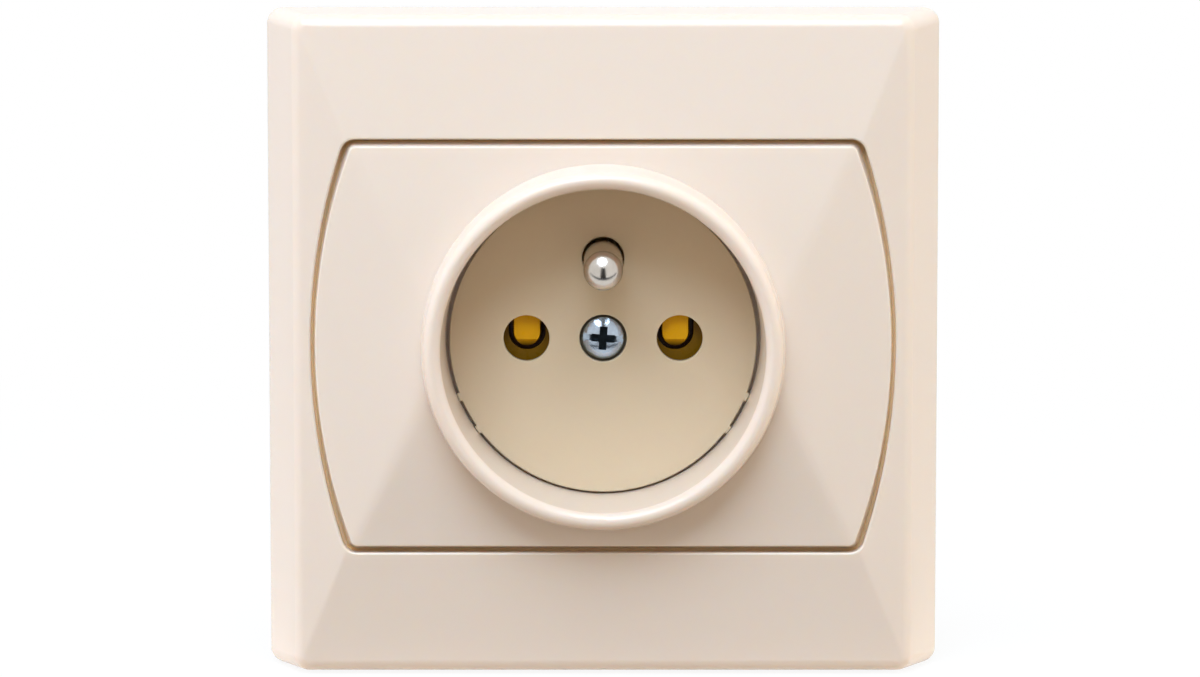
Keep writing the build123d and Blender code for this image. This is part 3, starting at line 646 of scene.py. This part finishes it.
@cache
def spring_steel():
    """Drawn steel wire with fine darker and lighter spots."""
    finish = Finish("spring_steel")
    finish.gloss(0.25, 0.4, size=0.5 * MM, detail=3)
    finish.bump(0.002 * MM, size=0.15 * MM, detail=2)
    body = finish.patchy(colours().spring, 0.85, 1.1, size=0.8 * MM, detail=3)
    return finish.set(base_color=body, metallic=1).material


@cache
def brass():
    """Bright brass strip with a little tarnish."""
    darkness, tarnish_starts, tarnish_ends = 0.72, 0.45, 0.75
    gold = colours().brass
    finish = Finish("brass")
    finish.gloss(0.2, 0.36, size=2 * MM, detail=4)
    finish.bump(0.003 * MM, size=0.4 * MM, detail=3, stretch=(1, 0.08, 1))
    spots = finish.noise(size=3 * MM, detail=5, roughness=0.65)
    tarnish = finish.span(spots, 0, 1, tarnish_starts, tarnish_ends)
    body = finish.mix(tarnish, gold, shade(gold, darkness))
    return finish.set(base_color=body, metallic=1).material


FINISHES = {
    "cream_plastic": cream_plastic,
    "floor_plastic": floor_plastic,
    "amber_plastic": amber_plastic,
    "base_plastic": base_plastic,
    "zinc_steel": zinc_plate,
    "nickel_pin": nickel_plate,
    "spring_steel": spring_steel,
    "brass": brass,
}


def merged_copy(node):
    """A CAD node's triangles as one closed mesh with its flat faces whole."""
    mesh = bmesh.new()
    mesh.from_mesh(frame["nodes"][node].data)
    bmesh.ops.remove_doubles(mesh, verts=mesh.verts, dist=sizes().merge_distance)
    bmesh.ops.dissolve_limit(
        mesh,
        angle_limit=sizes().flat_angle,
        use_dissolve_boundaries=False,
        verts=mesh.verts,
        edges=mesh.edges,
    )
    return mesh


def shade_edges(mesh):
    """Smooth faces, with the edges that turn sharply left sharp."""
    for face in mesh.faces:
        face.smooth = True
    for edge in mesh.edges:
        edge.smooth = edge.is_manifold and edge.calc_face_angle(0) < sizes().sharp_angle


def piece_from(mesh, name, node, finish=None):
    """Makes an object of a mesh that stands for a CAD node and rides on its body."""
    shade_edges(mesh)
    data = bpy.data.meshes.new(name)
    mesh.to_mesh(data)
    mesh.free()
    if data.has_custom_normals:  # those of the loose triangles, which don't fit the merged corners
        data.attributes.remove(data.attributes["custom_normal"])
    piece = bpy.data.objects.new(name, data)
    bpy.context.scene.collection.objects.link(piece)
    piece.data.materials.append((finish or FINISHES[node_slot(node)])())
    softened = piece.modifiers.new("edge_round", "BEVEL")
    softened.width = sizes().edge_round
    softened.segments = ROUND_SEGMENTS
    softened.limit_method = "ANGLE"
    softened.angle_limit = sizes().sharp_angle
    even = piece.modifiers.new("even_shading", "WEIGHTED_NORMAL")
    even.keep_sharp = True
    even.weight = FACE_WEIGHT
    claim(piece, node)


def claim(piece, node):
    """The piece stands for a CAD node and rides on its body."""
    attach(piece, node_body(node))
    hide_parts(node)
    node_slot(node)


def dress(node, name):
    """Makes a piece of the CAD node's own shape, with smooth shading and its finish."""
    piece_from(merged_copy(node), name, node)


class Recipe:
    """A Geometry Nodes tree under construction, with named inputs."""

    def __init__(self, name):
        self.tree = bpy.data.node_groups.new(name, "GeometryNodeTree")
        self.tree.is_modifier = True
        for way in ("INPUT", "OUTPUT"):
            self.tree.interface.new_socket("Geometry", in_out=way, socket_type="NodeSocketGeometry")
        self.start = self.tree.nodes.new("NodeGroupInput")
        self.end = self.tree.nodes.new("NodeGroupOutput")

    def input(self, name, kind):
        """Adds an input to the tree and gives its socket."""
        self.tree.interface.new_socket(name, in_out="INPUT", socket_type="NodeSocket" + kind)
        return self.start.outputs[name]

    def node(self, kind, **inputs):
        """Adds a node, with its sockets linked or set."""
        node = self.tree.nodes.new("GeometryNode" + kind)
        for name, value in inputs.items():
            socket = node.inputs[name.replace("_", " ")]
            if isinstance(value, bpy.types.NodeSocket):
                self.tree.links.new(value, socket)
            else:
                socket.default_value = value
        return node

    def finish(self, geometry):
        """Realizes what was made and gives it its material."""
        material = self.input("Material", "Material")
        real = self.node("RealizeInstances", Geometry=geometry)
        painted = self.node("SetMaterial", Geometry=real.outputs["Geometry"], Material=material)
        self.tree.links.new(painted.outputs["Geometry"], self.end.inputs["Geometry"])
        return self.tree


@cache
def coil_recipe():
    """Tree that winds a round wire on every point of a mesh, for springs and screw threads."""
    recipe = Recipe("wound_coil")
    radius = recipe.input("Coil Radius", "Float")
    spiral = recipe.node(
        "CurveSpiral",
        Resolution=sizes().coil_steps,
        Rotations=recipe.input("Turns", "Float"),
        Start_Radius=radius,
        End_Radius=radius,
        Height=recipe.input("Length", "Float"),
    )
    ring = recipe.node("CurvePrimitiveCircle", Resolution=sizes().wire_sides)
    recipe.tree.links.new(recipe.input("Wire Radius", "Float"), ring.inputs["Radius"])
    wire = recipe.node(
        "CurveToMesh",
        Curve=spiral.outputs["Curve"],
        Profile_Curve=ring.outputs["Curve"],
        Fill_Caps=True,
    )
    smooth = recipe.node("SetShadeSmooth", Geometry=wire.outputs["Mesh"])
    turned = recipe.node(
        "Transform",
        Geometry=smooth.outputs["Geometry"],
        Rotation=recipe.input("Turn", "Vector"),
    )
    placed = recipe.node(
        "InstanceOnPoints",
        Points=recipe.start.outputs["Geometry"],
        Instance=turned.outputs["Geometry"],
    )
    return recipe.finish(placed.outputs["Instances"])


def grow(points, name, tree, **inputs):
    """Runs a tree on points and gives an object with the finished mesh, at the origin."""
    seed = bpy.data.meshes.new(name + "_points")
    seed.from_pydata(points, [], [])
    grown = bpy.data.objects.new(name, seed)
    bpy.context.scene.collection.objects.link(grown)
    modifier = grown.modifiers.new("grow", "NODES")
    modifier.node_group = tree
    for item in tree.interface.items_tree:
        if item.in_out == "INPUT" and item.name != "Geometry":
            modifier[item.identifier] = inputs[item.name.lower().replace(" ", "_")]
    graph = bpy.context.evaluated_depsgraph_get()
    mesh = bpy.data.meshes.new_from_object(grown.evaluated_get(graph), depsgraph=graph)
    grown.modifiers.remove(modifier)
    grown.data = mesh
    bpy.data.meshes.remove(seed)
    return grown


def wind_spring(node, name):
    """Round-wire spring in the place of a CAD spring; the real one shortens as the shutter opens,
    this mesh is wound at one length.
    """
    low, high = (Vector(corner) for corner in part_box(node))
    wire = sizes().spring_wire
    foot = ((low.x + high.x) / 2, (low.y + high.y) / 2, low.z + wire)
    coil = grow(
        [foot],
        name,
        coil_recipe(),
        coil_radius=(high.x - low.x) / 2 - wire,
        turns=sizes().spring_turns,
        length=high.z - low.z - 2 * wire,
        wire_radius=wire,
        turn=(0, 0, 0),
        material=spring_steel(),
    )
    claim(coil, node)
    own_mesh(coil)


def islands(mesh):
    """Connected groups of corners, in the order of the mesh."""
    met = set()
    for first in mesh.verts:
        if first in met:
            continue
        group, rim = set(), {first}
        while rim:
            corner = rim.pop()
            group.add(corner)
            rim.update({side.other_vert(corner) for side in corner.link_edges} - group)
        met |= group
        yield group


def cut_thread(node, name, finish=None):
    """Makes a piece of a node's screws, which are alike, with a rolled thread on each shaft."""
    mesh = merged_copy(node)
    pitch, wire = sizes().thread_pitch, sizes().thread_wire
    tips = []
    for screw in islands(mesh):
        spots = [corner.co for corner in screw]
        x, z = ((min(line) + max(line)) / 2 for line in zip(*((spot.x, spot.z) for spot in spots)))
        reach = {corner: math.hypot(corner.co.x - x, corner.co.z - z) for corner in screw}
        tip = max(spot.y for spot in spots)
        shaft = max(reach[corner] for corner in screw if tip - corner.co.y < wire)
        seat = max(corner.co.y for corner in screw if reach[corner] > shaft + wire)
        for corner in screw:
            if abs(reach[corner] - shaft) < wire / 2 and corner.co.y > seat - wire:
                slim = 1 - 2 * wire / reach[corner]
                corner.co.x = x + (corner.co.x - x) * slim
                corner.co.z = z + (corner.co.z - z) * slim
        tips.append((x, tip - wire, z))
    length = tip - seat - 2 * wire
    thread = grow(
        tips,
        name + "_thread",
        coil_recipe(),
        coil_radius=shaft - THREAD_SINK * wire,
        turns=length / pitch,
        length=length,
        wire_radius=wire,
        turn=(math.pi / 2, 0, 0),
        material=FINISHES[node_slot(node)](),
    )
    mesh.from_mesh(thread.data)
    bpy.data.objects.remove(thread)
    piece_from(mesh, name, node, finish)


class SOCKET_OT_outer_frame(bpy.types.Operator):
    """Mould the square outer frame"""

    bl_idname = "socket.outer_frame"
    bl_label = "Outer Frame"

    def execute(self, context):
        dress("outer_frame", "frame_moulding")
        return {"FINISHED"}


class SOCKET_OT_cover_plate(bpy.types.Operator):
    """Mould the cover plate with its collar"""

    bl_idname = "socket.cover_plate"
    bl_label = "Cover Plate"

    def execute(self, context):
        dress("cover_plate", "cover_moulding")
        return {"FINISHED"}


class SOCKET_OT_recess_floor(bpy.types.Operator):
    """Mould the floor of the plug recess"""

    bl_idname = "socket.recess_floor"
    bl_label = "Recess Floor"

    def execute(self, context):
        dress("socket_insert", "recess_floor")
        return {"FINISHED"}


class SOCKET_OT_centre_screw(bpy.types.Operator):
    """Turn the centre screw and its bush"""

    bl_idname = "socket.centre_screw"
    bl_label = "Centre Screw"

    def execute(self, context):
        cut_thread("centre_screw", "cover_screw", blue_zinc)
        dress("centre_nut", "cover_bush")
        return {"FINISHED"}


class SOCKET_OT_earth_pin(bpy.types.Operator):
    """Turn the earth pin"""

    bl_idname = "socket.earth_pin"
    bl_label = "Earth Pin"

    def execute(self, context):
        dress("earth_pin", "plated_pin")
        return {"FINISHED"}


class SOCKET_OT_shutter(bpy.types.Operator):
    """Mould the shutter and wind its springs"""

    bl_idname = "socket.shutter"
    bl_label = "Shutter"

    def execute(self, context):
        dress("shutter", "amber_shutter")
        for side in ("left", "right"):
            wind_spring("shutter_spring_" + side, side + "_wire_spring")
        return {"FINISHED"}


class SOCKET_OT_base(bpy.types.Operator):
    """Mould the insulating base"""

    bl_idname = "socket.base"
    bl_label = "Contact Base"

    def execute(self, context):
        dress("contact_base", "base_moulding")
        return {"FINISHED"}


class SOCKET_OT_contacts(bpy.types.Operator):
    """Press the brass contacts and wire clamps"""

    bl_idname = "socket.contacts"
    bl_label = "Contacts"

    def execute(self, context):
        for node in ("line_contact", "neutral_contact", "earth_strip"):
            dress(node, node + "_pressing")
        for node in ("line_clamp", "neutral_clamp", "earth_clamp"):
            dress(node, node + "_pressing")
        cut_thread("terminal_screws", "wire_screws")
        return {"FINISHED"}


class SOCKET_OT_strap(bpy.types.Operator):
    """Press the mounting strap and set its rivets"""

    bl_idname = "socket.strap"
    bl_label = "Mounting Strap"

    def execute(self, context):
        dress("mounting_strap", "strap_pressing")
        dress("strap_rivets", "set_rivets")
        return {"FINISHED"}


class SOCKET_OT_claws(bpy.types.Operator):
    """Press the spreading claws, with their pins, screws and nuts"""

    bl_idname = "socket.claws"
    bl_label = "Spreading Claws"

    def execute(self, context):
        for node in ("claw_left", "claw_right", "claw_pins", "claw_nuts"):
            dress(node, node + "_made")
        cut_thread("claw_screws", "claw_screws_made")
        return {"FINISHED"}


SoftBox = namedtuple("SoftBox", "rise side size distance mirrored")


def direction(rise, side):
    """Unit vector from the socket towards a light, from its height and its side in degrees."""
    rise, side = math.radians(rise), math.radians(side)
    level = math.cos(rise)
    return Vector((math.sin(side) * level, -math.cos(side) * level, math.sin(rise)))


class SOCKET_OT_stage(bpy.types.Operator):
    """Set the floor, the light and the camera"""

    bl_idname = "socket.stage"
    bl_label = "Studio"

    floor_half = 1.5
    paper_white = (0.95, 0.95, 0.95)
    paper_bounce = (0.38, 0.305, 0.23)
    paper_foot = (0.85, 0.74, 0.63)
    foot_start = 8.5 * MM
    foot_end = 12.5 * MM
    shadow_share = 0.12
    shadow_reach = 0.3
    horizon_blur = 0.2
    open_white = (1, 1, 1)
    strip_near = 0.052
    strip_far = 0.075
    strip_half = 0.25
    upright_foot_half = 0.020
    upright_top_half = 0.012
    upright_top = 0.03
    card_lift = 0.0003
    card_grey = (0.06, 0.06, 0.065, 1)
    sensor_width = 36
    clip_start = 0.01
    soft_boxes = {
        "key": SoftBox(rise=53, side=-9, size=0.7, distance=0.85, mirrored=True),
        "left": SoftBox(rise=12, side=-82, size=0.6, distance=0.9, mirrored=False),
        "right": SoftBox(rise=12, side=86, size=0.6, distance=0.9, mirrored=False),
    }

    def execute(self, context):
        self.lay_floor(context)
        self.light_world(context)
        for name, box in self.soft_boxes.items():
            self.hang_box(context, name, box)
        self.stand_dark_card(context)
        self.place_camera(context)
        context.scene.view_settings.view_transform = "Standard"
        return {"FINISHED"}

    def cut_sheet(self, context, name, corners, material):
        """An object of flat sheets with four corners each."""
        data = bpy.data.meshes.new(name)
        faces = [tuple(range(first, first + 4)) for first in range(0, len(corners), 4)]
        data.from_pydata(corners, [], faces)
        data.materials.append(material)
        sheet = bpy.data.objects.new(name, data)
        context.scene.collection.objects.link(sheet)
        return sheet

    def floor_paper(self):
        """Paper that is seen as white with a soft shadow, and throws warm light on the socket."""
        material = bpy.data.materials.new("pale_floor")
        material.use_nodes = True
        kit = NodeKit(material.node_tree)
        kit.nodes.clear()
        seen = kit.seen_directly()
        place = kit.coordinates("Object")
        off_wall = kit.combine("ABSOLUTE", kit.axes(place)["Y"])
        at_foot = kit.span(off_wall, 0, 1, self.foot_end, self.foot_start)
        bounce = kit.mix(at_foot, self.paper_bounce, self.paper_foot)
        paper = kit.add("BsdfDiffuse")
        kit.feed(paper.inputs["Color"], kit.mix(seen, bounce, self.paper_white))
        far = kit.add("VectorMath", operation="LENGTH")
        kit.feed(far.inputs[0], place)
        glow = kit.span(far.outputs["Value"], 1 - self.shadow_share, 1, 0, self.shadow_reach)
        blend = kit.add("MixShader")
        kit.feed(blend.inputs["Fac"], kit.combine("MULTIPLY", seen, glow))
        kit.feed(blend.inputs[1], paper.outputs["BSDF"])
        kit.feed(blend.inputs[2], kit.add("Emission").outputs["Emission"])
        kit.feed(kit.add("OutputMaterial").inputs["Surface"], blend.outputs["Shader"])
        return material

    def lay_floor(self, context):
        """The sheet of paper that the socket stands on."""
        half, level = self.floor_half, cad_low[2]
        signs = ((-1, -1), (1, -1), (1, 1), (-1, 1))
        corners = [(x * half, y * half, level) for x, y in signs]
        self.cut_sheet(context, "pale_floor", corners, self.floor_paper())

    def light_world(self, context):
        """Even light from above and little from below, in front of plain white."""
        world = bpy.data.worlds.new("studio")
        context.scene.world = world
        world.use_nodes = True
        kit = NodeKit(world.node_tree)
        back = next(node for node in kit.nodes if node.type == "BACKGROUND")
        height = kit.axes(kit.coordinates("Generated"))["Z"]
        above = kit.span(height, 0, 1, -self.horizon_blur, self.horizon_blur)
        room = kit.mix(above, studio().ground, studio().sky)
        kit.feed(back.inputs["Color"], kit.mix(kit.seen_directly(), room, self.open_white))

    def hang_box(self, context, name, box):
        """A round soft box that faces the socket."""
        data = bpy.data.lights.new(name + "_soft_box", "AREA")
        data.shape = "DISK"
        data.size = box.size
        data.energy = getattr(studio(), name + "_power")
        data.color = getattr(studio(), name + "_tint")
        lamp = bpy.data.objects.new(name + "_soft_box", data)
        lamp.visible_glossy = box.mirrored
        away = direction(box.rise, box.side)
        lamp.location = away * box.distance
        lamp.rotation_mode = "QUATERNION"
        lamp.rotation_quaternion = away.to_track_quat("Z", "Y")
        context.scene.collection.objects.link(lamp)

    def stand_dark_card(self, context):
        """A dark strip on the floor with an upright on it, which only gloss and metal mirror."""
        near, far, low = -self.strip_near, -self.strip_far, cad_low[2] + self.card_lift
        wide, foot, top = self.strip_half, self.upright_foot_half, self.upright_top_half
        strip = [(-wide, far, low), (wide, far, low), (wide, near, low), (-wide, near, low)]
        upright = [(-foot, far, low), (foot, far, low)]
        upright += [(top, far, self.upright_top), (-top, far, self.upright_top)]
        matt = Finish("dark_card").set(base_color=self.card_grey, roughness=1, specular_ior_level=0)
        card = self.cut_sheet(context, "dark_card", strip + upright, matt.material)
        card.visible_camera = False
        card.visible_diffuse = False
        card.visible_shadow = False
        card.visible_transmission = False

    def place_camera(self, context):
        """The camera straight in front, a little above the socket."""
        settings = studio()
        data = bpy.data.cameras.new("camera")
        data.lens = settings.lens
        data.sensor_width = self.sensor_width
        data.sensor_fit = "HORIZONTAL"
        data.clip_start = self.clip_start
        camera = bpy.data.objects.new("camera", data)
        back = Vector((0, -math.cos(settings.elevation), math.sin(settings.elevation)))
        camera.location = Vector(settings.aim) + back * settings.distance
        camera.rotation_mode = "QUATERNION"
        camera.rotation_quaternion = back.to_track_quat("Z", "Y")
        context.scene.collection.objects.link(camera)
        context.scene.camera = camera


OPERATORS = (
    SOCKET_OT_outer_frame,
    SOCKET_OT_cover_plate,
    SOCKET_OT_recess_floor,
    SOCKET_OT_centre_screw,
    SOCKET_OT_earth_pin,
    SOCKET_OT_shutter,
    SOCKET_OT_base,
    SOCKET_OT_contacts,
    SOCKET_OT_strap,
    SOCKET_OT_claws,
    SOCKET_OT_stage,
)


class SOCKET_PT_panel(bpy.types.Panel):
    """Lists the settings and the steps that build the socket"""

    bl_idname = "SOCKET_PT_panel"
    bl_label = "Wall Socket"
    bl_space_type = "VIEW_3D"
    bl_region_type = "UI"
    bl_category = "Wall Socket"

    def draw(self, context):
        layout = self.layout
        for settings in (sizes(), colours(), studio()):
            column = layout.box().column()
            for name in settings.__annotations__:
                column.prop(settings, name)
        for operator in OPERATORS:
            layout.operator(operator.bl_idname)


GROUPS = {
    "socket_sizes": SocketSizes,
    "socket_colours": SocketColours,
    "socket_studio": SocketStudio,
}


def register():
    for name, group in GROUPS.items():
        bpy.utils.register_class(group)
        setattr(bpy.types.Scene, name, bpy.props.PointerProperty(type=group))
    for item in (*OPERATORS, SOCKET_PT_panel):
        bpy.utils.register_class(item)


def unregister():
    for item in (SOCKET_PT_panel, *reversed(OPERATORS)):
        bpy.utils.unregister_class(item)
    for name, group in GROUPS.items():
        delattr(bpy.types.Scene, name)
        bpy.utils.unregister_class(group)


def main():
    register()
    bpy.ops.socket.outer_frame()
    bpy.ops.socket.cover_plate()
    bpy.ops.socket.recess_floor()
    bpy.ops.socket.centre_screw()
    bpy.ops.socket.earth_pin()
    bpy.ops.socket.shutter()
    bpy.ops.socket.base()
    bpy.ops.socket.contacts()
    bpy.ops.socket.strap()
    bpy.ops.socket.claws()
    bpy.ops.socket.stage()


if __name__ == "__main__":
    main()
